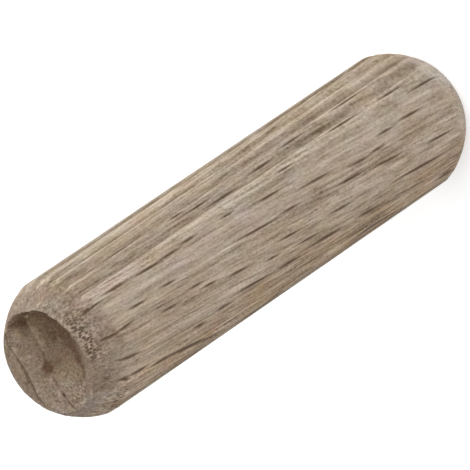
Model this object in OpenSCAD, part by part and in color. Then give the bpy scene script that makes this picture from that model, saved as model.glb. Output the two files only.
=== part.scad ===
// Fluted beech dowel pin, standing on its sawn end with its torn end up.
// Millimetres. +Z runs along the pin, and the origin is the middle of the sawn end.
// A bearing is an angle in degrees round the pin, anticlockwise from +X.

/* [Body] */
// Diameter over the lands between the flutes
pin_d = 10; // [9:0.5:14]
// Length from end to end
pin_l = 40; // [20:1:80]

/* [Chamfers] */
// Length of each chamfer along the pin
chamfer_l = 2.5; // [1.5:0.1:4]
// Depth of each chamfer, from the lands in to the rim of the end
chamfer_in = 1.35; // [0.8:0.05:1.6]
// How far each chamfer swells out past a straight cone
chamfer_swell = 0.15; // [0.05:0.01:0.25]

/* [Flutes] */
// Number of straight flutes pressed along the pin
flute_count = 24; // [12:1:26]
// Width of one flute across its mouth
flute_w = 0.45; // [0.25:0.05:0.6]
// Width of one flute across its bottom
flute_bottom_w = 0.08; // [0.04:0.02:0.2]
// Depth of one flute below the lands
flute_in = 0.17; // [0.08:0.01:0.25]
// Bearing of the first flute
flute_turn = -1.5; // [-7.5:0.5:7.5]

/* [Torn hollow] */
// Sound edge left between the hollow and the rim of the torn end
lip_w = 0.12; // [0.05:0.01:0.4]
// Radius of the mouth of the shallow dish
dish_r = 3; // [2:0.1:3.1]
// Depth of the shallow dish
dish_in = 0.35; // [0.1:0.05:0.8]
// Bearing that the shallow dish leans to
dish_turn = -100; // [-180:5:180]
// Radius of the mouth of the deep lobe
deep_r = 2.55; // [1.5:0.05:3]
// Depth of the deep lobe
deep_in = 1.15; // [0.6:0.05:1.4]
// Bearing that the deep lobe leans to
deep_turn = -80; // [-180:5:180]
// Radius of the mouth of the side lobe
side_r = 2.05; // [1.2:0.05:2.6]
// Depth of the side lobe
side_in = 1; // [0.5:0.05:1.2]
// Bearing that the side lobe leans to
side_turn = 5; // [-180:5:180]

/* [Tears along the grain] */
// Bearing of the growth rings, which both tears follow
grain_turn = -7; // [-45:1:45]
// Width across the rounded bottom of each tear
tear_w = 0.36; // [0.2:0.02:0.6]
// Angle that each wall of a tear leans out by
tear_flare = 20; // [5:1:35]
// Distance from the axis to the rim tear
rim_tear_off = 2.4; // [1.5:0.05:2.7]
// Depth of the rim tear at its middle
rim_tear_in = 0.26; // [0.15:0.01:0.6]
// Slope of the rim tear, down to its open end
rim_tear_slope = 4; // [0:0.5:6]
// Distance from the axis to the heart tear, on the other side
heart_tear_off = 0.1; // [0:0.05:1]
// Depth of the heart tear where it starts
heart_tear_in = 1.05; // [0.9:0.05:1.4]
// Slope of the heart tear, up to its open end
heart_tear_slope = 20; // [12:1:24]
// Radius of the round pit at the start of the heart tear
pit_r = 0.4; // [0.2:0.05:0.6]
// Depth of the pit
pit_in = 1.2; // [1:0.05:1.5]

/* [Broken rim] */
// Radius of the mouth of the chip in the rim
chip_r = 0.8; // [0.4:0.05:1.2]
// Depth of the chip
chip_in = 0.18; // [0.05:0.01:0.4]
// Bearing of the chip
chip_turn = 119; // [-180:1:180]
// Radius of the mouth of the stretch of rim that is worn away
worn_r = 1.9; // [1:0.1:2.5]
// Depth of the worn stretch
worn_in = 0.2; // [0.05:0.01:0.4]
// Bearing of the worn stretch
worn_turn = -150; // [-180:5:180]

/* [Hidden] */
$fn = 96;
beech = [0.66, 0.58, 0.49];
spare = 1; // how far each cutter runs clear of the wood
pin_r = pin_d / 2;
rim_r = pin_r - chamfer_in;
tear_r = tear_w / 2;

// Radius of the arc, or of the ball, that has this half chord and this rise.
function arc_r(half_chord, rise) = (half_chord * half_chord + rise * rise) / (2 * rise);

// What one chamfer takes off the blank: a section from the axis out, at the torn end.
module chamfer_section() {
    chord = norm([chamfer_l, chamfer_in]);
    outward = [chamfer_l, chamfer_in] / chord;
    middle = [pin_r - chamfer_in / 2, pin_l - chamfer_l / 2];
    swell_r = arc_r(chord / 2, chamfer_swell);
    difference() {
        translate([rim_r, pin_l - chamfer_l]) square([chamfer_in + spare, chamfer_l + spare]);
        translate(middle - outward * (swell_r - chamfer_swell)) circle(r = swell_r);
    }
}

// The round blank with its two chamfers.
module blank() {
    rotate_extrude() difference() {
        square([pin_r, pin_l]);
        chamfer_section();
        translate([0, pin_l]) mirror([0, 1]) chamfer_section();
    }
}

// One flute from end to end, with flat flanks that open outwards.
module flute() {
    bottom_half = flute_bottom_w / 2;
    flank_run = (flute_w / 2 - bottom_half) / flute_in;
    outer_half = bottom_half + flank_run * (flute_in + spare);
    translate([0, 0, -spare]) linear_extrude(pin_l + 2 * spare) polygon([
        [pin_r - flute_in, -bottom_half], [pin_r + spare, -outer_half],
        [pin_r + spare, outer_half], [pin_r - flute_in, bottom_half]
    ]);
}

module flutes() {
    for (i = [0 : flute_count - 1]) rotate(flute_turn + i * 360 / flute_count) flute();
}

// A ball that sinks a round bowl into the torn end, with its middle this far from the axis.
module bowl(mouth_r, depth, turn, off) {
    ball_r = arc_r(mouth_r, depth);
    rotate(turn) translate([off, 0, pin_l - depth + ball_r]) sphere(r = ball_r);
}

// A bowl that reaches out as far as the sound lip.
module lobe(mouth_r, depth, turn) {
    bowl(mouth_r, depth, turn, rim_r - lip_w - mouth_r);
}

// The section of a tear, round at the bottom and open at the top.
module tear_section() {
    circle(r = tear_r);
    top = deep_in + spare;
    top_half = tear_r + top * tan(tear_flare);
    polygon([[-tear_r, 0], [tear_r, 0], [top_half, top], [-top_half, top]]);
}

// A tear from start, this far along the grain from the axis, out past the rim at the other side.
// The depth is where it passes the axis, and a positive slope runs down towards the open end.
module tear(start, off, depth, slope) {
    rotate(grain_turn) translate([0, off, pin_l - depth + tear_r]) rotate([0, -slope, 0])
        translate([start, 0, 0]) rotate([90, 0, -90])
            linear_extrude(start + pin_r + spare) tear_section();
}

module torn_hollow() {
    lobe(dish_r, dish_in, dish_turn);
    lobe(deep_r, deep_in, deep_turn);
    lobe(side_r, side_in, side_turn);
    tear(pin_r + spare, rim_tear_off, rim_tear_in, rim_tear_slope);
    tear(0, -heart_tear_off, heart_tear_in, -heart_tear_slope);
    rotate(grain_turn) translate([0, -heart_tear_off, pin_l - pit_in + pit_r]) sphere(r = pit_r);
}

module broken_rim() {
    bowl(chip_r, chip_in, chip_turn, rim_r);
    bowl(worn_r, worn_in, worn_turn, rim_r);
}

module dowel_pin() {
    color(beech) difference() {
        blank();
        flutes();
        torn_hollow();
        broken_rim();
    }
}

dowel_pin();
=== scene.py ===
"""Looks of a fluted beech dowel pin that stands on its sawn end, with its torn end up.

Lengths are in millimetres until they are handed to Blender, which takes metres. A bearing is
an angle round the pin in degrees, anticlockwise from +X. Across and along are the X and the Y
of level points of the torn end.
"""

import logging
import math
import random
from dataclasses import dataclass
from typing import Any, Callable, Optional, Sequence

import bpy
import numpy as np
from mathutils import Matrix, Vector, noise


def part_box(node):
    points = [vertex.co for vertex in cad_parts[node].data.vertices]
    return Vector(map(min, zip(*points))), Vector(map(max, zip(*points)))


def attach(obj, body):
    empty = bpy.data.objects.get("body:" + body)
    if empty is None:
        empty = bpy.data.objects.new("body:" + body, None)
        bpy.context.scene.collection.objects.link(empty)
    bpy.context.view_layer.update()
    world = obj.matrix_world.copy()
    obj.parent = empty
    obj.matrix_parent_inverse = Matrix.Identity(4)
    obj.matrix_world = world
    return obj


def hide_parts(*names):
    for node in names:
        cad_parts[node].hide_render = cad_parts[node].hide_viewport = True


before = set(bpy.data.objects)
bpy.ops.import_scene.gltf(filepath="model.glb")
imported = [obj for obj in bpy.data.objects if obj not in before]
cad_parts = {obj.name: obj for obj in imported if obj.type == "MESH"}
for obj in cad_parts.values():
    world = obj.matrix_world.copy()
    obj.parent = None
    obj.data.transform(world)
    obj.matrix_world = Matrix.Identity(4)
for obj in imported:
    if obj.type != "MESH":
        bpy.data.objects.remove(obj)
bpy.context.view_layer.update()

Array = np.ndarray
Pair = tuple[float, float]
Triple = tuple[float, float, float]
Colour = tuple[float, float, float, float]

MM = 0.001
HAIR = 0.001  # how close two places are to count as one, in millimetres
SEED_STEP = (37.1, 11.7, 5.3)  # how far apart the fields of two seeds are read
BODY = "root"
NODE = "dowel_pin"

log = logging.getLogger("dowel_pin")


# ---- shared maths


def smooth_step(low: float, high: float, value: Array) -> Array:
    """Rises smoothly from 0 at low to 1 at high."""
    share = np.clip((value - low) / (high - low), 0.0, 1.0)
    return share * share * (3.0 - 2.0 * share)


def fade(full: float, gone: float, value: Array) -> Array:
    """Falls smoothly from 1 at full to 0 at gone."""
    return 1.0 - smooth_step(full, gone, value)


def from_least(least: float, share: Array) -> Array:
    """Shares from 0 to 1, spread over the range from a least value up to 1."""
    return least + (1.0 - least) * share


def soft_min(one: Array, other: Array, blend: float) -> Array:
    """The lower of two surfaces, rounded where they meet.

    Args:
        one: Heights or radii of the first surface.
        other: The same of the second surface.
        blend: How close the two come before the corner is rounded.

    Returns:
        The lower of the two, a little lower still at the corner.
    """
    share = np.clip(0.5 + 0.5 * (other - one) / blend, 0.0, 1.0)
    return other * (1.0 - share) + one * share - blend * share * (1.0 - share)


def soft_max(one: Array, other: Array, blend: float) -> Array:
    """The higher of two surfaces, rounded where they meet."""
    return -soft_min(-one, -other, blend)


def turn_to_unit(bearing: float) -> Pair:
    """The level unit vector that points along a bearing in degrees."""
    return math.cos(math.radians(bearing)), math.sin(math.radians(bearing))


def arc_radius(half_chord: float, rise: float) -> float:
    """Radius of the arc, or of the ball, that has this half chord and this rise."""
    return (half_chord**2 + rise**2) / (2.0 * rise)


def wrap(angle: Array, pitch: float) -> Array:
    """Folds angles to the range of plus or minus half a pitch."""
    return (angle + pitch / 2.0) % pitch - pitch / 2.0


def degrees_off(bearing: Array, middle: float) -> Array:
    """How many degrees bearings lie to either side of a middle one."""
    return np.abs(wrap(bearing - middle, 360.0))


def bearing_of(points: Array) -> Array:
    """The bearing of each point, in degrees."""
    return np.degrees(np.arctan2(points[:, 1], points[:, 0]))


def from_axis(points: Array) -> Array:
    """How far each point lies from the pin's axis."""
    return np.hypot(points[:, 0], points[:, 1])


def vertices_of(mesh: bpy.types.Mesh) -> Array:
    """Reads where a mesh's vertices are.

    Args:
        mesh: Any mesh.

    Returns:
        One point for each vertex, in millimetres.
    """
    places = np.empty(len(mesh.vertices) * 3, np.float32)
    mesh.vertices.foreach_get("co", places)
    return places.reshape(-1, 3).astype(float) / MM


def each(kind: Callable[..., Any], rows: Sequence[Sequence[Any]]) -> tuple[Any, ...]:
    """Makes one mark of a kind from each row of its numbers."""
    return tuple(kind(*row) for row in rows)


@dataclass(frozen=True)
class Ripple:
    """Smooth seeded noise: its height and its waves to a millimetre along each axis."""

    height: float
    waves: Triple
    seed: int

    def over(self, points: Array, share: "Array | float" = 1.0) -> Array:
        """Reads the noise at points.

        Args:
            points: An array of N points.
            share: How much of the height is left at each point.

        Returns:
            About plus or minus the height, for each point.
        """
        shift = Vector([step * self.seed for step in SEED_STEP])
        stretched = points * np.asarray(self.waves)
        found = np.array([noise.noise(Vector(place) + shift) for place in stretched])
        return share * self.height * found


Ripples = tuple[Ripple, ...]


@dataclass(frozen=True)
class Side:
    """A stretch round the pin, full up to one angle from its middle and gone at another.

    The amount is how much it adds where it is full.
    """

    middle: float
    full: float
    gone: float
    amount: float = 1.0

    def beyond(self, bearing: Array) -> Array:
        """How far bearings lie outside the stretch, 1 at most."""
        return smooth_step(self.full, self.gone, degrees_off(bearing, self.middle))

    def over(self, bearing: Array) -> Array:
        """What the stretch adds at each bearing."""
        return self.amount * (1.0 - self.beyond(bearing))


# ---- the pin's form


@dataclass(frozen=True)
class Grain:
    """How the wood lies in the pin: the bearing of its rays and the lean of its fibres."""

    ray_turn: float = -105.0
    lean_x: float = 0.06
    lean_y: float = -0.06

    def axes(self) -> tuple[Vector, Vector, Vector]:
        """Finds the three directions of the wood.

        Returns:
            Unit vectors along the rays, round the rings and up the fibres.
        """
        fibre = Vector((self.lean_x, self.lean_y, 1.0)).normalized()
        ray = Vector((*turn_to_unit(self.ray_turn), 0.0))
        ring = fibre.cross(ray).normalized()
        return ring.cross(fibre).normalized(), ring, fibre

    def slope(self, bearing: float) -> float:
        """How far the fibres drift round the skin for each millimetre of height."""
        unit_x, unit_y = turn_to_unit(bearing)
        return self.lean_y * unit_x - self.lean_x * unit_y

    def local(self, points: Array) -> Array:
        """Points as distances along the rays, round the rings and up the fibres."""
        return points @ np.array([list(axis) for axis in self.axes()]).T


@dataclass(frozen=True)
class Chamfer:
    """The swelling chamfer at each end."""

    length: float = 2.5
    inset: float = 1.35
    swell: float = 0.15

    def radius(self, from_end: Array, full: float) -> Array:
        """Radius of the turned blank at a distance from the nearer end.

        Args:
            from_end: Distances from the nearer end, in millimetres.
            full: Radius over the lands.

        Returns:
            The radius at each distance.
        """
        half = math.hypot(self.length, self.inset) / 2.0
        arc = arc_radius(half, self.swell)
        outward = (self.inset / (2 * half), self.length / (2 * half))
        middle_z = self.length / 2.0 + outward[0] * (arc - self.swell)
        middle_r = full - self.inset / 2.0 - outward[1] * (arc - self.swell)
        inside = np.maximum(arc**2 - (from_end - middle_z) ** 2, 0.0)
        return np.where(from_end < self.length, middle_r + np.sqrt(inside), full)


@dataclass(frozen=True)
class Flutes:
    """The straight flutes pressed along the pin, and the crowned lands between them.

    A flute has a flat bottom with a steep flank and a gentle one, measured from its middle. A
    painted highlight lies on the crest by each steep flank, where the light catches it, and the
    depth of each flute also paints its groove darker, partly as pressed wood and partly as
    painted shade. A few flutes stand a little off their place, and on one side of the pin they
    are worn nearly flat.
    """

    count: int = 24
    turn: float = -1.7
    bottom: float = 0.04
    steep: float = 0.26
    gentle: float = 0.55
    depth: float = 0.18
    crown: float = 0.03
    crest: float = 0.25
    crest_width: float = 0.12
    lag: Side = Side(-54.0, 8.0, 22.0, 1.2)
    worn_to: float = 0.25
    worn_side: Side = Side(-122.0, 44.0, 66.0)

    def left(self, bearing: Array) -> Array:
        """Share of the depth that wear has left at each bearing."""
        return from_least(self.worn_to, self.worn_side.beyond(bearing))

    def from_middle(self, bearing: Array) -> Array:
        """Angle from each bearing to the middle of its flute."""
        return wrap(bearing - self.turn - self.lag.over(bearing), 360.0 / self.count)

    def pressed(self, bearing: Array, full: float) -> Array:
        """How far down the flank of a flute each bearing lies, 1 at its bottom.

        Args:
            bearing: Bearings in degrees.
            full: Radius over the lands, in millimetres.

        Returns:
            A share for each bearing, less on the worn side.
        """
        side = np.radians(self.from_middle(bearing)) * full
        reach = np.where(side > 0.0, self.gentle, self.steep)
        share = np.clip((np.abs(side) - self.bottom) / (reach - self.bottom), 0.0, 1.0)
        return (1.0 - share) ** 2 * (1.0 + 2.0 * share) * self.left(bearing)

    def crest_highlight(self, bearing: Array, full: float) -> Array:
        """How much painted highlight each bearing takes: most on the crest by a steep flank, where the
        light catches it.
        """
        side = np.radians(self.from_middle(bearing)) * full
        return np.exp(-(((side + self.crest) / self.crest_width) ** 2)) * self.left(bearing)

    def drop(self, bearing: Array, full: float) -> Array:
        """How far the fluted skin lies below the round blank, at each bearing."""
        off = np.abs(self.from_middle(bearing)) / (180.0 / self.count)
        return self.depth * self.pressed(bearing, full) + self.crown * (1.0 - off) ** 2 * self.left(bearing)


@dataclass(frozen=True)
class Cup:
    """The mouth of the torn hollow: a ragged round wall with a rounded foot and one bulge."""

    radius: float = 3.57
    foot: float = 1.2
    ragged: float = 0.035
    teeth: Pair = (9.0, 23.0)
    bulge: Side = Side(-34.0, 20.0, 36.0, 0.09)
    outer_slope: float = 3.0

    def floor(self, across: Array, along: Array) -> Array:
        """Greatest depth that the wall leaves under level points.

        Args:
            across: The X of each point.
            along: The Y of each point.

        Returns:
            A depth for each point, below zero outside the wall.
        """
        turn = np.arctan2(along, across)
        few, many = self.teeth
        edge = self.radius + self.ragged * (np.sin(few * turn + 1.0) + np.sin(many * turn)) / 2.0
        edge = edge + self.bulge.over(np.degrees(turn))
        inward = edge - np.hypot(across, along)
        arc = np.clip(self.foot - inward, 0.0, self.foot)
        depth = np.sqrt(self.foot**2 - arc**2)
        return np.where(inward > 0.0, depth, inward * self.outer_slope)


@dataclass(frozen=True)
class Bowl:
    """A round bowl sunk into the torn end: its middle, its ball's radius and its depth."""

    across: float
    along: float
    ball: float
    depth: float

    def floor(self, across: Array, along: Array) -> Array:
        """Depth of the bowl under level points, below zero outside it."""
        inner = self.ball**2 - ((across - self.across) ** 2 + (along - self.along) ** 2)
        return self.depth - self.ball + np.where(inner > 0.0, np.sqrt(np.maximum(inner, 0.0)), -self.ball)


@dataclass(frozen=True)
class Lip:
    """The line along the grain past which the side bowl and the flat bowl rise again."""

    along: float = 2.44
    step: float = 0.34
    step_from: float = 0.3
    step_to: float = -0.7
    bend: float = 0.33
    bend_from: float = 2.0
    side_rise: float = 1.5
    flat_rise: float = 2.0

    def past(self, across: Array, along: Array) -> Array:
        """How far level points lie past the lip, 0 at least.

        Args:
            across: The X of each point.
            along: The Y of each point.

        Returns:
            A distance for each point.
        """
        line = self.along + self.step * smooth_step(self.step_from, self.step_to, across)
        line = line - self.bend * np.maximum(across - self.bend_from, 0.0) ** 2
        return np.maximum(along - line, 0.0)


@dataclass(frozen=True)
class Crack:
    """A crack over the torn end with one lip raised, or a ridge where its depth is negative.

    Its left side, seen from start to stop, is spread times as wide as its right side. Fall and
    lip_fall say how steeply it and its lip end. Its dark is painted shade in the crack, and its
    lip carries a painted highlight, paler by the lip's height times pale.
    """

    start: Pair
    stop: Pair
    depth: float
    width: float
    lip: float = 0.0
    dark: float = 0.0
    spread: float = 1.0
    fall: float = 4.0
    lip_fall: float = 3.0
    pale: float = 7.0

    def shares(self, across: Array, along: Array) -> tuple[Array, Array]:
        """How near level points are to the crack and to its lip.

        Args:
            across: The X of each point.
            along: The Y of each point.

        Returns:
            Two shares for each point, 1 at most.
        """
        run = np.subtract(self.stop, self.start)
        length = math.hypot(*run)
        unit = run / length
        forth = (across - self.start[0]) * unit[0] + (along - self.start[1]) * unit[1]
        side = (along - self.start[1]) * unit[0] - (across - self.start[0]) * unit[1]
        ends = smooth_step(-self.width, self.width, forth)
        ends = ends * fade(length - self.width, length + self.width, forth)
        reach = np.where(side > 0.0, self.width * self.spread, self.width)
        cut = np.exp(-((side / reach) ** 2) * self.fall)
        lip = np.exp(-(((side - self.width) / self.width) ** 2) * self.lip_fall)
        return ends * cut, ends * lip

    def floor(self, across: Array, along: Array) -> Array:
        """How much deeper the crack makes the torn end."""
        cut, lip = self.shares(across, along)
        return self.depth * cut - self.lip * lip

    def stain(self, across: Array, along: Array) -> Array:
        """How much painted shade the crack lays on the torn end, and how much painted highlight on its lip.
        """
        cut, lip = self.shares(across, along)
        return cut * self.dark - lip * self.lip * self.pale


@dataclass(frozen=True)
class StainAndShade:
    """A soft oval patch of the torn end.

    It is browner than the wood round it where brown is above zero, and paler below zero. Its
    cast is rosy above zero and olive below it, and it is tan above zero and grey below it. Some
    patches are brown stains of the wood, and some are painted: dark patches by the hollow's steep
    walls and under its near rim are painted shade, and pale patches on its ridges and lips are
    painted highlights.
    """

    across: float
    along: float
    length: float
    width: float
    turn: float
    brown: float
    cast: float = 0.0
    tan: float = 0.0
    core: float = 0.1
    edge: float = 1.25

    def share(self, across: Array, along: Array) -> Array:
        """How far level points lie inside the patch.

        Args:
            across: The X of each point.
            along: The Y of each point.

        Returns:
            A share for each point, 1 at the patch's middle.
        """
        unit_x, unit_y = turn_to_unit(self.turn)
        off_x, off_y = across - self.across, along - self.along
        forth = (off_x * unit_x + off_y * unit_y) / (self.length / 2.0)
        side = (off_y * unit_x - off_x * unit_y) / (self.width / 2.0)
        return fade(self.core, self.edge, np.hypot(forth, side))


@dataclass(frozen=True)
class Band:
    """A growth ring's stripe down the side, with its tone, its cast and how tan it is."""

    bearing: float
    half_width: float
    tone: float
    cast: float = 0.0
    tan: float = 0.0
    core: float = 0.3

    def share(self, bearing: Array) -> Array:
        """How far each bearing lies inside the stripe, 1 at its middle."""
        return fade(self.core, 1.0, degrees_off(bearing, self.bearing) / self.half_width)


@dataclass(frozen=True)
class Stroke:
    """A soft mark on the skin between two places given by height and bearing."""

    top: Pair
    foot: Pair
    width: float
    tone: float
    cast: float = 0.0
    core: float = 0.1

    def share(self, height: Array, bearing: Array, radius: float) -> Array:
        """How far points of the skin lie inside the mark, 1 along its middle.

        Args:
            height: Heights of the points, in millimetres.
            bearing: Their bearings in degrees.
            radius: Radius of the skin.

        Returns:
            One share for each point.
        """
        arc = math.radians(radius)
        rise, side = height - self.top[0], wrap(bearing - self.top[1], 360.0) * arc
        run = self.foot[0] - self.top[0], (self.foot[1] - self.top[1]) * arc
        forth = np.clip((rise * run[0] + side * run[1]) / (run[0] ** 2 + run[1] ** 2), 0.0, 1.0)
        away = np.hypot(rise - forth * run[0], side - forth * run[1])
        return fade(self.core, 1.0, away / (self.width / 2.0))


@dataclass(frozen=True)
class Fleck:
    """One brown ray fleck in the skin of the pin.

    Its ends are pointed where point is near 1 and round where it is 2. It ends at its length over
    long_core, and its width over wide_core, from its middle.
    """

    height: float
    bearing: float
    length: float
    width: float = 0.19
    lean: float = 0.0
    point: float = 1.4
    long_core: float = 1.35
    wide_core: float = 1.55

    def field(self, points: Array, bearing: Array, radius: float, slope: float) -> Array:
        """Falls from 1 on the middle of the fleck to 0 at its edge and below zero outside it.

        Args:
            points: Points of the skin, in millimetres.
            bearing: Their bearings in degrees.
            radius: Radius of the skin.
            slope: How far the fibres drift round the skin for each millimetre of height.

        Returns:
            One value for each point.
        """
        forth = points[:, 2] - self.height
        side = np.radians(wrap(bearing - self.bearing, 360.0)) * radius
        side = side - (slope + self.lean) * forth
        reach = np.abs(forth / (self.length / self.long_core)) ** self.point
        reach += np.abs(side / (self.width / self.wide_core)) ** self.point
        return 1.0 - reach ** (1.0 / self.point)


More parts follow.
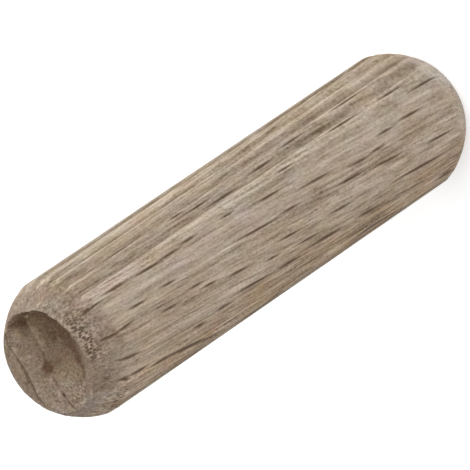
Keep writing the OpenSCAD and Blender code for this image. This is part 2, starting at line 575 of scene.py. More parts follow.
@dataclass
class DowelPin:
    """The whole pin: one piece of beech, turned, fluted and torn off at its upper end."""

    name: str = "fluted_beech_pin"
    radius: float = 5.0
    length: float = 40.0
    columns: int = 600
    body_cuts: int = 79
    torn_cuts: int = 29
    sawn_cuts: int = 11
    sawn_rings: int = 4
    smooth_angle: float = 60.0
    chamfer: Chamfer = Chamfer()
    flutes: Flutes = Flutes()
    shoulder_blend: float = 0.05
    skin_ripples: Ripples = (Ripple(0.012, (2.6, 2.6, 0.12), 1), Ripple(0.006, (7.0, 7.0, 0.35), 2))
    chamfer_ripples: Ripples = (Ripple(0.06, (2.2, 2.2, 1.2), 3), Ripple(0.05, (5.0, 5.0, 3.4), 8))
    rough_side: Side = Side(-70.0, 35.0, 75.0)
    least_rough: float = 0.35
    rough_stop: Pair = (-0.5, 0.1)
    rim_rough: float = 0.4
    rim_reach: float = 0.3
    sawn_rough: float = 0.5
    grain: Grain = Grain()
    cup: Cup = Cup()
    lip: Lip = Lip()
    deep_bowl: Bowl = Bowl(1.5, -1.5, 8.0, 1.12)
    side_bowl: Bowl = Bowl(3.05, 0.8, 1.0, 0.95)
    flat_bowl: Bowl = Bowl(-0.4, 0.9, 16.0, 0.32)
    floor_blend: float = 0.15
    deep_blend: float = 0.2
    chip_blend: float = 0.12
    # The sixth number of a crack is painted shade in it; the paler tone of its lip is a painted highlight.
    cracks: tuple[Crack, ...] = (
        Crack((3.05, 2.0), (2.4, 2.36), 0.07, 0.1, 0.06, 0.7),
        Crack((2.4, 2.36), (1.0, 2.43), 0.07, 0.1, 0.06, 0.7),
        Crack((1.0, 2.43), (0.2, 2.49), 0.07, 0.1, 0.04, 0.7),
        Crack((0.2, 2.49), (-0.45, 2.73), 0.07, 0.1, 0.03, 0.7),
        Crack((-0.45, 2.73), (-1.5, 2.84), 0.07, 0.1, 0.03, 0.7),
        Crack((-1.5, 2.84), (-2.35, 2.77), 0.07, 0.1, 0.0, 0.7),
        Crack((1.2, 0.18), (3.0, 0.1), -0.1, 0.28, spread=3.0),
        Crack((0.0, 0.72), (1.2, 0.18), -0.05, 0.28, spread=3.0),
        Crack((0.7, 0.66), (0.1, 0.9), 0.07, 0.12, dark=0.6),
        Crack((0.1, 0.95), (-0.5, 0.98), 0.1, 0.3, dark=0.3),
        Crack((-0.9, 0.78), (-1.7, 0.74), 0.07, 0.09, 0.03, 0.75),
        Crack((-1.7, 0.74), (-2.3, 0.62), 0.07, 0.09, 0.03, 0.75),
        Crack((-2.4, 0.66), (-3.5, 0.35), 0.06, 0.14, dark=0.45),
    )
    chips: tuple[Bowl, ...] = (
        Bowl(-1.77, 3.2, 1.9, 0.18),
        Bowl(-3.16, -1.83, 9.1, 0.2),
        Bowl(-2.36, 0.71, 0.16, 0.3),
        Bowl(2.4, 0.34, 1.75, 0.75),
    )
    ring_ripple: Ripple = Ripple(0.08, (1.4, 0.8, 0.0), 4)
    torn_ripples: Ripples = (Ripple(0.05, (3.0, 3.0, 0.0), 5), Ripple(0.035, (6.5, 6.5, 0.0), 6))
    torn_rough_from: Pair = (0.02, 0.3)
    # Browner with depth below the rim: partly brown wood, partly painted shade in the deep hollow.
    deep_brown_and_shade: float = 0.52
    deep_from: Pair = (0.25, 1.1)
    # Brown stains of the wood, with painted shade by the hollow's steep walls and under its near rim, and
    # painted highlights, brown below zero, on its ridges and lips.
    stains_and_painted_light: tuple[StainAndShade, ...] = each(StainAndShade, (
        (3.1, 0.6, 1.9, 1.3, 100, 0.5, 0, 0.1), (2.9, 0.7, 0.8, 0.6, 60, 0.25),
        (2.3, 1.03, 0.7, 0.35, 20, 0.4), (3.4, 1.25, 0.6, 0.4, 60, 0.3, 0.5, 0.6),
        (3.27, 0, 0.45, 0.35, 90, -1.6, 0.5), (2.7, 1.5, 0.8, 0.6, 30, -0.3, -0.3, 1),
        (3.45, 0.7, 1.4, 0.4, 110, 0, 0.2, 0.7), (1.7, 0.28, 2.2, 0.55, 176, -0.4, -0.1, 0.2),
        (1.3, 0.7, 1.8, 0.4, 178, 0.2, -0.15), (2.9, -0.9, 1.7, 1, 65, 0.25, 0, 0.3),
        (1.9, -1.5, 1.7, 0.9, 35, 0.35, 0.1, 0.2), (0.4, -1.75, 2.4, 1.1, 8, 0.55, 0.2),
        (-0.9, -1.95, 1.6, 1, 8, 0.5, 0.2), (-1.55, -2.1, 0.8, 0.4, 65, 0.9, 0.1),
        (-2, -2.05, 1, 0.7, 10, 0.6), (1.5, -0.75, 1.7, 1.2, 20, 0.3),
        (1.1, -0.9, 0.7, 0.5, 100, 0.35), (0.9, -1.4, 0.6, 0.5, 0, 0.2),
        (1.35, -0.1, 0.7, 0.5, 0, 0.4, 0.1, 1.2), (3.5, -0.45, 1, 0.45, 100, 0.6),
        (3.75, 0.4, 1.6, 0.35, 97, 0.4), (2.4, 1, 0.6, 0.4, 20, 0.2), (1, -0.55, 0.5, 0.4, 90, 0.25),
        (2.35, 0.25, 0.8, 0.45, 100, -0.5), (0.15, -0.2, 0.9, 0.35, 85, -0.25),
        (-1.4, -0.2, 0.7, 0.4, 80, 0.35), (-1.2, 0.8, 0.4, 0.35, 90, 0.3),
        (-2.4, -0.35, 0.7, 0.4, 100, -0.25), (-1.75, 0.35, 0.6, 0.4, 0, -0.35),
        (-0.3, 0.85, 1, 0.6, 0, 0.7, -0.8), (-0.5, 0.82, 0.36, 0.3, 0, 0.7, 0.6),
        (-0.05, 1.05, 0.5, 0.4, 0, 0.35, -0.5), (-2.75, -1.8, 0.9, 0.5, 40, 0.45),
        (-0.3, 2.65, 0.6, 0.2, 150, -0.6), (2.1, 2.17, 0.7, 0.2, 160, -0.4),
        (0.5, -2.35, 0.8, 0.4, 90, -0.35), (-3.5, 0.15, 0.5, 0.3, 90, -0.4),
        (3.05, 1.75, 0.6, 0.3, 125, -0.8), (-3, 1.9, 2, 0.7, 60, 0, 0, -1.2),
        (-1, 3.4, 3.5, 0.4, 175, 0, 0, -0.9), (2.3, 1.5, 0.9, 0.7, 0, 0, 0, 0.7),
        (2.6, -0.2, 2.6, 3.6, 0, 0, 0, 0.7), (-0.25, 0.7, 1.3, 0.6, 3, 0.45),
        (-0.35, 0.85, 1.4, 1.1, 150, 0.35), (-0.4, 1.15, 1, 0.7, 0, 0.5),
        (-0.66, 1.45, 0.6, 0.35, 90, 0.4), (-0.15, 1.35, 0.5, 0.9, 20, 0.15),
        (-0.3, 0.2, 1.3, 0.7, 95, 0.3), (-0.5, -0.2, 0.9, 0.7, 60, 0, 0, -0.5),
        (-1.05, 1.15, 0.5, 0.4, 150, -0.5, 0.3), (-1.9, 1.15, 0.9, 0.5, 5, -0.75, 0.3, -0.3),
        (-1.7, 0.95, 1.2, 0.25, 5, -0.2, 0.4, -0.3), (-2.1, 0.9, 2.4, 1.2, 5, 0, 0.4, -0.3),
        (-3.1, 0.5, 1.2, 0.3, 15, 0.45, -0.3), (-3, -0.1, 1, 1.8, 10, 0, 0.2, -0.5),
        (-0.9, -0.7, 1, 0.8, 100, 0, -0.2), (-2.7, -0.7, 1.2, 0.8, 70, -0.25),
        (-3.3, -0.9, 1.8, 0.6, 100, -0.6), (-3.4, 0, 0.9, 0.5, 90, -0.6),
        (-2.8, 2.1, 0.8, 0.5, 60, 0.35), (-1.2, 1.8, 1.6, 0.3, 90, 0.25),
        (0.1, 1.75, 0.7, 0.4, 90, 0.25), (-1.7, -0.2, 0.5, 0.4, 0, 0.25),
        (1, 3.4, 2, 0.4, 160, 0, 0, -0.9), (-2.1, 0.4, 0.5, 1.6, 0, -0.1, 0, 0.7),
        (-1.5, 1.4, 1.4, 0.7, 0, 0, 0, -0.7), (3.15, 1.75, 0.9, 0.35, 125, -1.3, 0, 0.6),
        (-1.8, -1.3, 1.9, 1, 75, 0.3, 0, 0.1), (-0.1, 2.42, 1.4, 0.36, 158, -0.6),
        (-1.3, 2.6, 1.8, 0.36, 172, -0.6), (-2.2, 2.55, 0.8, 0.5, 0, -0.3),
        (1.9, 2.15, 1.2, 0.3, 175, -0.35), (0.9, 2.22, 1.1, 0.36, 175, -0.35),
        (1.3, 1.65, 0.8, 0.6, 0, -0.3), (-0.4, 3, 0.9, 0.35, 170, 0.2, 0.5),
        (-1.9, 3.05, 1.6, 0.5, 150, 0.35, 0, -0.6), (1.6, 2.8, 2.6, 0.7, 170, 0.2),
        (-2.4, 1.8, 1.6, 1, 20, -0.1, 0.3),
    ))
    # A dark dot in the small pit at the same place: painted shade.
    pinhole_shade: StainAndShade = StainAndShade(-2.36, 0.71, 0.36, 0.3, 0.0, 2.2)
    stain_ripples: Ripples = (Ripple(0.12, (1.8, 1.8, 0.0), 11), Ripple(0.07, (4.5, 4.5, 0.0), 12))
    hollow_inset: float = 0.03
    hollow_blend: float = 0.1
    walled: Side = Side(-16.0, 36.0, 48.0, 0.08)
    chipped: Side = Side(8.0, 16.0, 28.0, 0.07)
    porous: Side = Side(-90.0, 35.0, 75.0, -0.5)
    planed: Side = Side(-168.0, 20.0, 38.0, 0.8)
    end_ripples: Ripples = (Ripple(0.4, (1.6, 1.6, 0.3), 9), Ripple(0.3, (4.0, 4.0, 0.3), 10))
    end_stop: Pair = (-1.6, -0.3)
    grainy_at: Pair = (-2.7, -0.9)
    grainy_stop: Pair = (0.5, 2.2)
    coarse: Side = Side(-90.0, 16.0, 32.0)
    coarse_from: Pair = (0.05, 0.3)
    coarse_stop: Pair = (0.5, 1.3)
    faint_pits: float = 0.1
    faint_stop: Pair = (1.4, 2.4)
    speckled: Side = Side(-60.0, 35.0, 65.0, 0.25)
    bold: Side = Side(-175.0, 20.0, 45.0)
    calm: Side = Side(-84.0, 8.0, 16.0, -0.25)
    fluted: Side = Side(-45.0, 30.0, 50.0)
    fluted_bold: float = 0.12
    fluted_uneven: float = 0.15
    bold_uneven: float = 0.6
    sawn_grey: float = 0.6
    sawn_stop: Pair = (0.6, 2.2)
    band_tone: float = 0.13
    band_from: Pair = (1.2, 2.8)
    bands: tuple[Band, ...] = each(Band, (
        (-68, 14, 0.35, -0.1), (-46, 22, -0.8, -0.1), (-22, 24, 0.1, -0.25), (-38, 9, -0.25),
        (-92, 6, 0.45), (-124, 5, 0.5), (-154, 5, 0.5), (-98, 13, -0.7), (-162, 42, -0.8, 0.1, 0.9),
        (-66, 45, 0, 0, -0.4), (-9, 7, 0, 0, -0.5), (-173, 11, -0.6, 0, -0.9), (-53.5, 3, -0.5),
        (-74, 4, -0.6), (-146, 4, -0.6), (-162, 4, -0.4), (-36.5, 2.5, 0.4), (-42.5, 3, 0.4),
        (120, 30, 0.5, 0.2),
    ))
    stroke_ripple: Ripple = Ripple(0.07, (2.2, 2.2, 1.0), 13)
    stroke_sway: float = 20.0
    # Tone marks of the wood, with some painted light: the dark strokes down bearings -12.8 and -58 are
    # painted shade in flute valleys, the dark one down bearing -169 painted shade along that side, the pale
    # ones at height 39.95 a painted highlight on the rim's edge, and the two near height 0.3 painted light
    # and painted shade from the pale surroundings.
    strokes: tuple[Stroke, ...] = each(Stroke, (
        ((38.65, -31), (38, -39), 0.34, -0.3), ((37.9, -40.5), (35.6, -43.5), 0.3, -0.25),
        ((38.3, -29.5), (35.5, -29), 0.26, -0.2), ((38.15, -12.8), (1.5, -12.8), 0.4, -0.34, -0.3),
        ((38.1, -169), (1.5, -169), 0.7, -0.2, -0.3), ((38.2, -141.5), (34.5, -143), 0.8, 0.22, 0.2),
        ((38.3, -31.5), (35, -32), 0.5, 0.14, -0.2), ((38.9, -58), (36, -59.5), 0.26, -0.22),
        ((38.5, -63), (36, -63.5), 0.34, 0.16), ((38.2, -35), (36, -36), 0.4, 0.16),
        ((38.6, -48), (36.5, -50), 0.4, 0.1), ((39.3, -64), (38.7, -61), 0.8, -0.15, 0.4),
        ((39.8, -84), (39.5, -64), 0.8, -0.15, -0.1), ((39.8, -112), (39.4, -124), 0.8, -0.2),
        ((38.7, -70), (38.2, -84), 0.7, -0.2, 0.2), ((38.9, -20), (38.4, -26), 0.7, -0.14, 0.1),
        ((38, -100), (37.4, -114), 0.9, -0.14), ((39, -3), (38.8, -14), 1.2, 0.16),
        ((39.4, -30), (39.2, -46), 0.8, 0.14, -0.2), ((39.2, -68), (38.9, -65), 0.5, 0.12),
        ((39.3, -134), (38.8, -137), 0.3, -0.18), ((38, -132), (36.2, -137), 1, 0.15, 0.2),
        ((39.5, -150), (39.2, -178), 1.4, 0.16, -0.1), ((38.5, -146), (38, -172), 1.4, -0.04),
        ((39.6, -167), (39.6, -184), 0.8, 0.08), ((37.9, -70), (37.8, -118), 0.7, -0.12),
        ((39.95, -20), (39.95, -58), 0.22, 0.24), ((37.2, -66), (34, -68), 1.3, 0, 0.6),
        ((39.95, -58), (39.93, -100), 0.16, 0.2), ((39.5, -49), (39.1, -58), 0.7, 0.2),
        ((0.4, -74), (0.4, -112), 1.8, 0.15), ((0.3, -15), (0.3, -50), 1.2, -0.13),
        ((39.8, -102), (39.7, -106), 0.4, -0.5),
    ))
    fleck_sink: float = 0.02
    fleck_edge: float = 0.6
    no_fleck: float = -2.0
    flecks: tuple[Fleck, ...] = each(Fleck, (
        (29.6, -32, 1.6, 0.24), (21.4, -32, 5, 0.24), (32.8, -46, 3.6), (27.1, -50, 1.6),
        (25.2, -54, 3.1), (23, -59, 3.2), (18.8, -56, 2.6), (15.1, -52, 2.7), (8.9, -50, 3.6),
        (11, -65, 3.9), (6.1, -66, 2.3), (35.7, -72, 2.5), (32.4, -74, 2.5), (30.2, -74, 2.5),
        (28.2, -73, 1.6), (24.2, -74, 1.3), (20.4, -80, 2.5), (17.7, -69, 1.8), (3, -75, 3.2),
        (35.1, -92, 1.8), (31.9, -92, 1.6), (23, -96, 5.5), (19.6, -97, 2.3), (16.1, -90, 3.6),
        (12, -97, 2), (10.1, -97, 1.6), (8.6, -89, 2), (5.9, -89, 2.3), (29.9, -105, 1.6),
        (32.8, -108, 1.8), (28.8, -110, 1.6), (13.7, -104, 2.7), (9.6, -109, 3.4), (25.9, -115, 2.3),
        (20.5, -114, 2.6), (22.5, -122, 1.3), (15.2, -120, 2.6), (4.4, -117, 3.1), (18.8, -126, 2.6),
        (24.6, -132, 4, 0.24), (21, -135, 2.6, 0.28), (16.8, -135, 3.8, 0.3), (12.5, -138, 2.6, 0.28),
        (6.6, -130, 5.5, 0.24), (30.4, -136, 1.2, 0.24), (27.9, -134, 1.8, 0.24),
        (36.7, -139.2, 2.1, 0.3), (21.5, -165, 1.6, 0.45), (11.2, -159, 4.5, 0.34),
        (3.4, -157, 2.1, 0.34), (34.4, -144, 2.6, 0.3), (31.3, -150.5, 6.6, 0.4, 0.15),
        (38.1, -74, 2.2, 0.15), (38.5, -73, 0.5, 0.24), (37, -100.5, 2, 0.2, -0.1),
        (38.3, -100.6, 1.4, 0.2, 0), (37.4, -122.8, 2.2, 0.26, 0.05), (38, -139.4, 0.7, 0.38),
    ))
    more_flecks: int = 48
    more_margins: Pair = (1.5, 2.0)
    more_spread: float = 36.0
    more_lengths: Pair = (1.0, 3.6)
    seed: int = 7

    @property
    def rim(self) -> float:
        """Radius of the rim at each end."""
        return self.radius - self.chamfer.inset

    def torn_depth(self, across: Array, along: Array) -> Array:
        """How far the torn end lies below the rim's level.

        Args:
            across: The X of each point.
            along: The Y of each point.

        Returns:
            A depth for each point, 0 at least.
        """
        past = self.lip.past(across, along)
        deep = self.deep_bowl.floor(across, along)
        side = self.side_bowl.floor(across, along) - past * self.lip.side_rise
        flat = self.flat_bowl.floor(across, along) - past * self.lip.flat_rise
        floor = soft_max(deep, soft_max(side, flat, self.floor_blend), self.deep_blend)
        depth = soft_min(floor, self.cup.floor(across, along), self.floor_blend)
        for crack in self.cracks:
            depth = depth + crack.floor(across, along)
        for chip in self.chips:
            depth = soft_max(depth, chip.floor(across, along), self.chip_blend)
        return np.maximum(depth, 0.0)

    def torn_marks(self, points: Array) -> tuple[Array, Array, Array]:
        """Reads the torn hollow's stain patches, its painted shade and highlights, and its cracks.

        Args:
            points: Points of the finished pin.

        Returns:
            How brown each point is, counting painted shade in the deep places and cracks, and
            below zero paler stains and painted highlights; then its cast and how tan it is.
        """
        drift = sum((ripple.over(points) for ripple in self.stain_ripples), 0.0)
        across, along = points[:, 0] + drift, points[:, 1] - drift
        # Browner with depth: partly brown wood, partly painted shade in the deep hollow.
        brown = smooth_step(*self.deep_from, self.length - points[:, 2]) * self.deep_brown_and_shade
        cast, tan = np.zeros((2, len(points)))
        # Stain patches, painted shade and painted highlights of the hollow.
        for stain in self.stains_and_painted_light:
            share = stain.share(across, along)
            brown = brown + share * stain.brown
            cast, tan = cast + share * stain.cast, tan + share * stain.tan
        for crack in self.cracks:
            # Painted shade in the cracks and painted highlights on their lips.
            brown = brown + crack.stain(points[:, 0], points[:, 1])
        # Painted shade in the pinhole.
        brown = brown + self.pinhole_shade.share(points[:, 0], points[:, 1]) * self.pinhole_shade.brown
        return brown, cast, tan

    def skin_marks(self, points: Array, bearing: Array) -> tuple[Array, Array, Array]:
        """Reads the bands and the strokes of the skin, which is greyer near its sawn end.

        Args:
            points: Points of the finished pin.
            bearing: Their bearings in degrees.

        Returns:
            The tone of each point, its cast and how tan it is.
        """
        tone, cast, tan = np.zeros((3, len(points)))
        tan = tan - self.sawn_grey * fade(*self.sawn_stop, points[:, 2])
        below = smooth_step(*self.band_from, self.length - points[:, 2])
        for band in self.bands:
            share = band.share(bearing)
            tone = tone + share * band.tone * self.band_tone
            cast, tan = cast + share * below * band.cast, tan + share * below * band.tan
        drift = self.stroke_ripple.over(points)
        # Strokes: tone marks, some of them painted shade and painted highlights.
        for stroke in self.strokes:
            turned = bearing + drift * self.stroke_sway
            share = stroke.share(points[:, 2] + drift, turned, self.radius)
            tone, cast = tone + share * stroke.tone, cast + share * stroke.cast
        return tone, cast, tan

    def cell_share(self, points: Array, bearing: Array, inside: Array) -> Array:
        """How plainly the wood's cells show at the torn end.

        Args:
            points: Points of the finished pin.
            bearing: Their bearings in degrees.
            inside: Which of them lie inside the rims.

        Returns:
            A share for each point: of pits above zero, and of pale grains below it.
        """
        from_end = self.length - points[:, 2]
        coarse = self.coarse.over(bearing)
        pits = coarse * smooth_step(*self.coarse_from, from_end) * fade(*self.coarse_stop, from_end)
        faint = self.faint_pits * (1.0 + coarse) + self.speckled.over(bearing)
        pits += faint * fade(*self.faint_stop, from_end)
        away = np.hypot(points[:, 0] - self.grainy_at[0], points[:, 1] - self.grainy_at[1])
        grains = -fade(*self.grainy_stop, away)
        torn = points[:, 2] > self.length / 2.0
        return np.where(torn, np.where(inside, grains, pits), 0.0)

    def turn_blank(self) -> bpy.types.Object:
        """Turns the plain blank: a ring drawn up into a barrel, cut into bands and capped.

        Returns:
            The blank, with as many columns and rings as the finished pin.
        """
        bpy.ops.object.select_all(action="DESELECT")
        bpy.ops.mesh.primitive_circle_add(vertices=self.columns, radius=self.rim * MM, location=(0, 0, 0))
        blank = bpy.context.active_object
        blank.name = self.name
        bpy.ops.object.mode_set(mode="EDIT")
        bpy.ops.mesh.select_all(action="SELECT")
        foot, shoulder = self.chamfer.length, self.length - self.chamfer.length
        swell = self.radius / self.rim
        for rise, grow in ((foot, swell), (shoulder - foot, 1.0), (foot, 1.0 / swell)):
            bpy.ops.mesh.extrude_region_move(TRANSFORM_OT_translate={"value": (0, 0, rise * MM)})
            bpy.ops.transform.resize(value=(grow, grow, 1.0), center_override=(0, 0, 0))
        for low, high, cuts in (
            (shoulder, self.length, self.torn_cuts),
            (foot, shoulder, self.body_cuts),
            (0.0, foot, self.sawn_cuts),
        ):
            self.select_edges(blank, low, high)
            bpy.ops.mesh.subdivide(number_cuts=cuts)
        self.close_sawn_end(blank)
        self.select_edges(blank, self.length, self.length)
        bpy.ops.mesh.fill_grid(span=self.columns // 4)
        bpy.ops.object.mode_set(mode="OBJECT")
        return blank

    @staticmethod
    def select_edges(piece: bpy.types.Object, low: float, high: float) -> None:
        """Selects the edges that run between two heights, and stays in edit mode.

        Args:
            piece: The blank.
            low: Height of each edge's lower end.
            high: Height of its upper end: the same again, for the ring at one end.
        """
        bpy.ops.object.mode_set(mode="OBJECT")
        mesh = piece.data
        ends = np.empty(len(mesh.edges) * 2, np.int32)
        mesh.edges.foreach_get("vertices", ends)
        heights = np.sort(vertices_of(mesh)[ends, 2].reshape(-1, 2), axis=1)
        bpy.ops.object.mode_set(mode="EDIT")
        bpy.ops.mesh.select_mode(type="EDGE")
        bpy.ops.mesh.select_all(action="DESELECT")
        bpy.ops.object.mode_set(mode="OBJECT")
        mesh.edges.foreach_set("select", np.all(np.abs(heights - (low, high)) < HAIR, axis=1))
        bpy.ops.object.mode_set(mode="EDIT")

    def close_sawn_end(self, piece: bpy.types.Object) -> None:
        """Closes the flat lower end with rings that shrink to one middle point.

        Args:
            piece: The blank.
        """
        self.select_edges(piece, 0.0, 0.0)
        for ring in range(self.sawn_rings, 0, -1):
            bpy.ops.mesh.extrude_region_move()
            shrink = ring / (self.sawn_rings + 1.0)
            bpy.ops.transform.resize(value=(shrink, shrink, 1.0), center_override=(0, 0, 0))
        bpy.ops.mesh.extrude_region_move()
        bpy.ops.mesh.merge(type="CENTER")

    def build(self) -> bpy.types.Object:
        """Models the pin and writes what its finish reads.

        Returns:
            The finished object, at the origin.
        """
        piece = self.turn_blank()
        mesh = piece.data
        points = vertices_of(mesh)
        at_end = (points[:, 2] < HAIR) | (points[:, 2] > self.length - HAIR)
        inside = at_end & (from_axis(points) < self.rim - HAIR)
        points[~inside] = self.shape_skin(points[~inside])
        torn = points[:, 2] > self.length / 2.0
        points[torn] = self.tear_end(points[torn])
        mesh.vertices.foreach_set("co", (points * MM).astype(np.float32).ravel())
        for name, values in self.finish_values(points, inside).items():
            layer = mesh.attributes.new(name, "FLOAT", "POINT")
            layer.data.foreach_set("value", values.astype(np.float32))
        mesh.update()
        self.finish_normals()
        return piece

    def finish_values(self, points: Array, inside: Array) -> dict[str, Array]:
        """Works out what the finish reads at each point.

        Args:
            points: Points of the finished pin.
            inside: Which of them lie inside the rims.

        Returns:
            One value for each point, under each name that the finish reads.
        """
        bearing = bearing_of(points)
        brown, torn_cast, torn_tan = self.torn_marks(points)
        tone, skin_cast, skin_tan = self.skin_marks(points, bearing)
        bold, fluted = self.bold.over(bearing), self.fluted.over(bearing)
        return {
            "end_grain": self.end_share(points, inside),
            "hollow": self.hollow_share(points),
            "brown": brown,
            "tone": np.where(inside, 0.0, tone),
            "cast": np.where(inside, torn_cast, skin_cast),
            "tan": np.where(inside, torn_tan, skin_tan),
            "cells": self.cell_share(points, bearing, inside),
            "bold": bold + self.calm.over(bearing) + self.fluted_bold * fluted,
            "uneven": 1.0 + self.fluted_uneven * fluted + self.bold_uneven * bold,
            "sawn": points[:, 2] < self.length / 2.0,
            "pressed": self.flutes.pressed(bearing, self.radius),
            "crest_highlight": self.flutes.crest_highlight(bearing, self.radius),
            "fleck": np.where(inside, self.no_fleck, self.fleck_field(points)),
        }

    def shape_skin(self, points: Array) -> Array:
        """Swells the chamfers and presses the flutes into the side of the blank.

        Args:
            points: Points of the blank's side.

        Returns:
            Where the same points lie on the finished skin.
        """
        bearing, height = bearing_of(points), points[:, 2]
        from_end = np.minimum(height, self.length - height)
        turned = self.chamfer.radius(from_end, self.radius)
        fluted = self.radius - self.flutes.drop(bearing, self.radius)
        radius = soft_min(fluted, turned, self.shoulder_blend)
        around = points.copy()
        around[:, :2] *= (self.radius / from_axis(points))[:, None]
        local = self.grain.local(around)
        for ripple in self.skin_ripples:
            radius += ripple.over(local)
        chamfered = fade(*self.rough_stop, from_end - self.chamfer.length)
        chamfered *= from_least(self.rim_rough, smooth_step(0.0, self.rim_reach, from_end))
        rough = from_least(self.least_rough, self.rough_side.over(bearing))
        rough *= chamfered * np.where(height > self.length / 2.0, 1.0, self.sawn_rough)
        for ripple in self.chamfer_ripples:
            radius += ripple.over(local, rough)
        radius -= self.fleck_sink * smooth_step(0.0, self.fleck_edge, self.fleck_field(points))
        unit = np.radians(bearing)
        return np.column_stack((radius * np.cos(unit), radius * np.sin(unit), height))

    def tear_end(self, points: Array) -> Array:
        """Sinks the torn hollow, its tears and the broken rim into the upper end.

        Args:
            points: Points of the upper half of the pin.

        Returns:
            Where the same points lie on the torn pin.
        """
        depth = self.torn_depth(points[:, 0], points[:, 1])
        rough = self.ring_ripple.over(self.grain.local(points))
        for ripple in self.torn_ripples:
            rough += ripple.over(points)
        floor = self.length - depth + smooth_step(*self.torn_rough_from, depth) * rough
        near_top = points[:, 2] > self.length - self.chamfer.length
        moved = points.copy()
        moved[:, 2] = np.where(near_top, np.minimum(points[:, 2], floor), points[:, 2])
        return moved

    def end_share(self, points: Array, inside: Array) -> Array:
        """How far each point shows end grain.

        Args:
            points: Points of the finished pin.
            inside: Which of them lie inside the rims.

        Returns:
            A share for each point: 1 at the ends, and less down each chamfer.
        """
        bearing = bearing_of(points)
        from_end = np.minimum(points[:, 2], self.length - points[:, 2])
        for ripple in self.end_ripples:
            from_end = from_end + ripple.over(points)
        from_end = from_end + self.porous.over(bearing) + self.planed.over(bearing)
        share = fade(*self.end_stop, from_end - self.chamfer.length)
        return np.where(inside, 1.0, share)

    def hollow_share(self, points: Array) -> Array:
        """Whether each point belongs to the torn hollow.

        Args:
            points: Points of the finished pin.

        Returns:
            A share for each point, from 0 at the hollow's edge to 1 inside it.
        """
        bearing = bearing_of(points)
        edge = self.rim - self.hollow_inset + self.walled.over(bearing) + self.chipped.over(bearing)
        share = fade(-self.hollow_blend, 0.0, from_axis(points) - edge)
        return np.where(points[:, 2] > self.length / 2.0, share, 0.0)

    def all_flecks(self) -> list[Fleck]:
        """The flecks that have their own places, then seeded ones on the far side.

        Returns:
            Every fleck of the pin.
        """
        draw = random.Random(self.seed)
        far = self.grain.ray_turn + 180.0
        low, high = self.more_margins
        seeded = (
            Fleck(
                draw.uniform(low, self.length - high),
                draw.gauss(far, self.more_spread),
                draw.uniform(*self.more_lengths),
            )
            for _ in range(self.more_flecks)
        )
        return [*self.flecks, *seeded]

    def fleck_field(self, points: Array) -> Array:
        """How near each point of the skin is to the middle of a ray fleck.

        Args:
            points: Points of the skin.

        Returns:
            One value for each point: 1 at most, and below zero outside the flecks.
        """
        bearing = bearing_of(points)
        nearest = np.full(len(points), self.no_fleck)
        for fleck in self.all_flecks():
            close = np.flatnonzero(np.abs(points[:, 2] - fleck.height) < fleck.length)
            slope = self.grain.slope(fleck.bearing)
            near = fleck.field(points[close], bearing[close], self.radius, slope)
            nearest[close] = np.maximum(nearest[close], near)
        return nearest

    def finish_normals(self) -> None:
        """Turns every face of the active piece outwards and shades it smooth up to sharp edges."""
        bpy.ops.object.mode_set(mode="EDIT")
        bpy.ops.mesh.select_mode(type="VERT")
        bpy.ops.mesh.select_all(action="SELECT")
        bpy.ops.mesh.normals_make_consistent(inside=False)
        bpy.ops.mesh.select_all(action="DESELECT")
        bpy.ops.object.mode_set(mode="OBJECT")
        bpy.ops.object.shade_smooth_by_angle(angle=math.radians(self.smooth_angle))


# ---- shader maths

SHADE_GAIN = (0.91, 1.0, 1.13)  # how much of a change in shade red, green and blue each take


@dataclass(frozen=True)
class Texture:
    """Noise in the wood: its waves to a millimetre along each axis, and its finer octaves."""

    waves: Triple
    detail: float = 0.0
    rough: float = 0.5
    share: float = 1.0


@dataclass(frozen=True)
class Ramp:
    """A smooth rise from low to high, or a fall where high is below low, up to a share."""

    low: float
    high: float
    share: float = 1.0


class Flow:
    """A value that varies over the wood: a node's output, with arithmetic on it."""

    def __init__(self, bench: "NodeBench", socket: bpy.types.NodeSocket) -> None:
        """Wraps one output socket of a bench's node tree."""
        self.bench = bench
        self.socket = socket

    def __add__(self, other: "Flow | float") -> "Flow":
        """Sum."""
        return self.bench.math("ADD", self, other)

    def __sub__(self, other: "Flow | float") -> "Flow":
        """Difference."""
        return self.bench.math("SUBTRACT", self, other)

    def __mul__(self, other: "Flow | float") -> "Flow":
        """Product."""
        return self.bench.math("MULTIPLY", self, other)

    def __rsub__(self, other: float) -> "Flow":
        """Difference from a number."""
        return self.bench.math("SUBTRACT", other, self)

    def __abs__(self) -> "Flow":
        """Size without its sign."""
        return self.bench.math("ABSOLUTE", self)

    __radd__ = __add__
    __rmul__ = __mul__

    def at_most(self, other: "Flow | float") -> "Flow":
        """The lesser of two values."""
        return self.bench.math("MINIMUM", self, other)

    def at_least(self, other: "Flow | float") -> "Flow":
        """The greater of two values."""
        return self.bench.math("MAXIMUM", self, other)

    def ramp(self, ramp: Ramp) -> "Flow":
        """What a ramp makes of the value."""
        inputs = {"Value": self, "From Min": ramp.low, "From Max": ramp.high, "To Max": ramp.share}
        return self.bench.read("ShaderNodeMapRange", {"interpolation_type": "SMOOTHSTEP"}, inputs)


